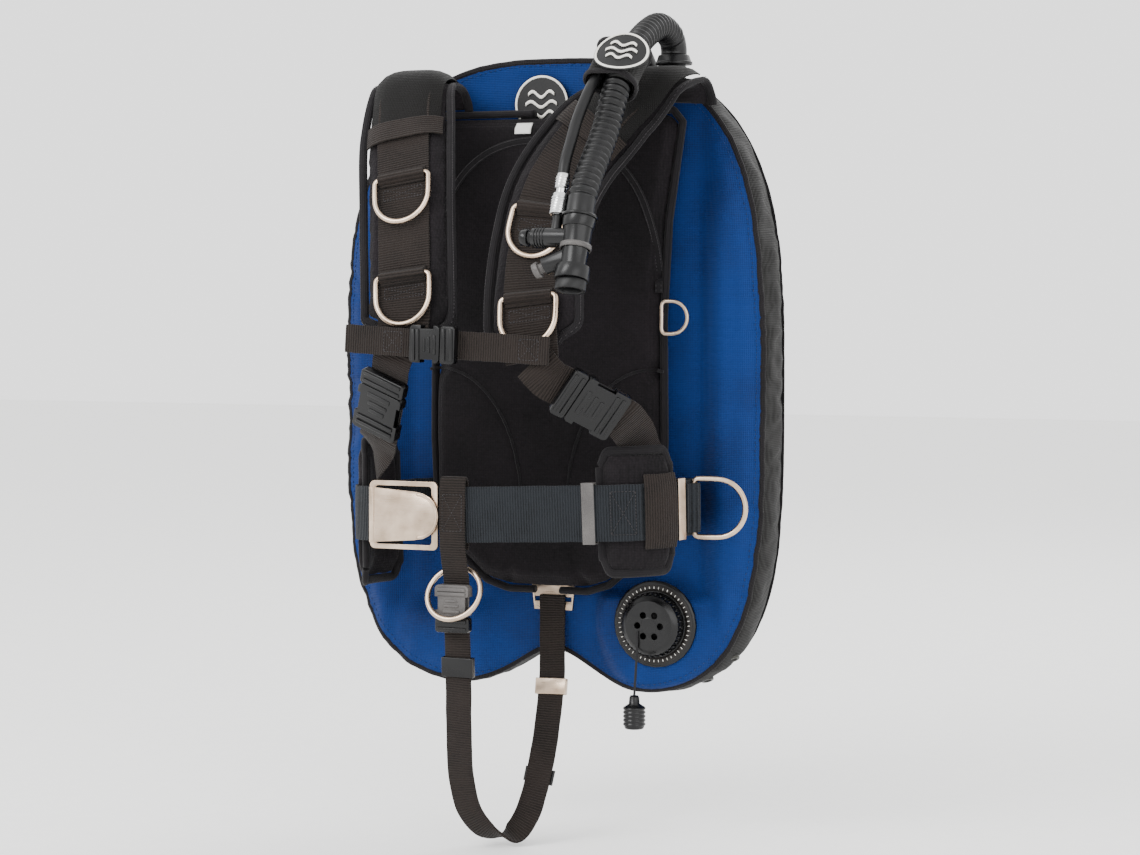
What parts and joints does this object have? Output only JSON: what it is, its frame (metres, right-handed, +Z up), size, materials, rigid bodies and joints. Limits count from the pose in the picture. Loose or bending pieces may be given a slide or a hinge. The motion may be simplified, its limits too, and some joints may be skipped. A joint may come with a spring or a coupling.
{
  "type": "buoyancy compensator vest",
  "caption": "Scuba buoyancy compensator: air wing on a backplate with webbing harness, padded straps, release buckles, rings, inflator hose and dump valve.",
  "frame": {"origin": "centre of the flat face that lies against the tank, at the back of the wing's centre panel", "axes": "+Z up along the back, -Y to the diver's front, +X to the diver's left"},
  "size_m": [0.422, 0.3271, 0.7553],
  "materials": {
    "blue_fabric": "woven, coated",
    "black_fabric": "woven, coated",
    "pad_fabric": "mesh over foam",
    "webbing": "woven",
    "belt_webbing": "woven",
    "steel": "satin",
    "chrome": "polished",
    "plastic": "fine texture",
    "grey_plastic": "satin",
    "rubber": "satin",
    "bladder_film": "smooth film"
  },
  "bodies": {
    "vest": {"back_pad": "pad_fabric", "backplate": "steel", "belt_buckle_frame": "steel", "belt_keeper": "grey_plastic", "chest_socket": "plastic", "corrugated_hose": "rubber", "crotch_buckle_socket": "grey_plastic", "crotch_slide_front": "plastic", "crotch_slide_rear": "steel", "crotch_strap_front": "webbing", "crotch_strap_rear": "webbing", "hip_ring_slide": "steel", "hose_elbow": "rubber", "hose_wrap": "black_fabric", "inflator_body": "plastic", "left_chest_strap": "webbing", "left_hip_pad": "pad_fabric", "left_release_socket": "plastic", "left_shoulder_pad": "pad_fabric", "left_shoulder_webbing": "webbing", "left_side_strap": "webbing", "left_waist_webbing": "belt_webbing", "lower_wing_screw": "steel", "lp_hose": "rubber", "lp_hose_ferrule": "chrome", "lp_hose_fitting": "chrome", "mouthpiece": "rubber", "right_chest_strap": "webbing", "right_hip_pad": "pad_fabric", "right_release_socket": "plastic", "right_shoulder_pad": "pad_fabric", "right_shoulder_webbing": "webbing", "right_side_strap": "webbing", "right_waist_webbing": "belt_webbing", "upper_wing_screw": "steel", "valve_body": "plastic", "wing_back_panel": "black_fabric", "wing_bladder": "bladder_film", "wing_centre_panel": "black_fabric", "wing_edge_band": "black_fabric", "wing_front_panel": "blue_fabric"},
    "left_upper_ring_body": {"left_upper_ring": "steel"},
    "right_upper_ring_body": {"right_upper_ring": "steel"},
    "left_lower_ring_body": {"left_lower_ring": "steel"},
    "right_lower_ring_body": {"right_lower_ring": "steel"},
    "hip_ring_body": {"hip_ring": "steel"},
    "side_ring_body": {"side_ring": "steel"},
    "crotch_ring_body": {"crotch_ring": "steel"},
    "buckle_lever": {"belt_buckle_lever": "steel"},
    "chest_clip_body": {"chest_clip": "plastic"},
    "left_clip": {"left_release_clip": "plastic"},
    "right_clip": {"right_release_clip": "plastic"},
    "crotch_clip": {"crotch_buckle_clip": "plastic"},
    "inflate": {"inflate_button": "plastic"},
    "deflate": {"deflate_button": "grey_plastic"},
    "coupling_sleeve": {"lp_coupling_sleeve": "chrome"},
    "pull": {"pull_cord": "rubber", "pull_knob": "plastic"},
    "poppet": {"valve_poppet": "rubber"}
  },
  "joints": [
    {"name": "left_upper_ring_swing", "type": "hinge", "parent": "vest", "child": "left_upper_ring_body", "pos_m": [0.03594, -0.12002, 0.11991], "axis": [-0.9922, 0.041, 0.118], "range_deg": [0, 110]},
    {"name": "right_upper_ring_swing", "type": "hinge", "parent": "vest", "child": "right_upper_ring_body", "pos_m": [-0.10104, -0.11881, 0.14999], "axis": [-0.982, -0.076, -0.173], "range_deg": [0, 110]},
    {"name": "left_lower_ring_swing", "type": "hinge", "parent": "vest", "child": "left_lower_ring_body", "pos_m": [0.03526, -0.1469, 0.04211], "axis": [-0.994, -0.035, -0.104], "range_deg": [0, 2]},
    {"name": "right_lower_ring_swing", "type": "hinge", "parent": "vest", "child": "right_lower_ring_body", "pos_m": [-0.08624, -0.148, 0.06089], "axis": [-0.9913, -0.035, -0.127], "range_deg": [0, 2]},
    {"name": "hip_ring_swing", "type": "hinge", "parent": "vest", "child": "hip_ring_body", "pos_m": [0.15716, -0.05582, -0.14588], "axis": [-0.002, -0.015, 0.9999], "range_deg": [-60, 30]},
    {"name": "side_ring_swing", "type": "hinge", "parent": "vest", "child": "side_ring_body", "pos_m": [0.117, -0.0323, 0.023], "axis": [0, 0, -1], "range_deg": [0, 100]},
    {"name": "crotch_ring_swing", "type": "hinge", "parent": "vest", "child": "crotch_ring_body", "pos_m": [-0.05, -0.10633, -0.2027], "axis": [-1, 0, 0], "range_deg": [0, 60]},
    {"name": "buckle_lever_swing", "type": "hinge", "parent": "vest", "child": "buckle_lever", "pos_m": [-0.1295, -0.1236, -0.156], "axis": [0, 0, -1], "range_deg": [0, 110]},
    {"name": "chest_clip_slide", "type": "slide", "parent": "vest", "child": "chest_clip_body", "axis": [0.9991, 0, -0.042], "range_m": [0, 0.022]},
    {"name": "left_clip_slide", "type": "slide", "parent": "vest", "child": "left_clip", "axis": [-0.6748, -0.5788, 0.4579], "range_m": [0, 0.012]},
    {"name": "right_clip_slide", "type": "slide", "parent": "vest", "child": "right_clip", "axis": [0.3399, -0.3269, 0.8818], "range_m": [0, 0.004]},
    {"name": "crotch_clip_slide", "type": "slide", "parent": "vest", "child": "crotch_clip", "axis": [0, 0, -1], "range_m": [0, 0.02]},
    {"name": "inflate_press", "type": "slide", "parent": "vest", "child": "inflate", "axis": [1, 0, 0], "range_m": [0, 0.003], "stiffness_N_per_m": 800},
    {"name": "deflate_press", "type": "slide", "parent": "vest", "child": "deflate", "axis": [0.8942, 0.146, 0.4231], "range_m": [0, 0.004], "stiffness_N_per_m": 800},
    {"name": "sleeve_pull", "type": "slide", "parent": "vest", "child": "coupling_sleeve", "axis": [0, 0.3258, 0.9454], "range_m": [0, 0.004], "stiffness_N_per_m": 800},
    {"name": "pull_down", "type": "slide", "parent": "vest", "child": "pull", "axis": [0, 0, -1], "range_m": [0, 0.008], "stiffness_N_per_m": 1200},
    {"name": "poppet_lift", "type": "slide", "parent": "vest", "child": "poppet", "axis": [0, -1, 0], "range_m": [0, 0.004]}
  ],
  "couplings": [
    {"joint": "poppet_lift", "follows": "pull_down", "ratio": 0.5}
  ]
}
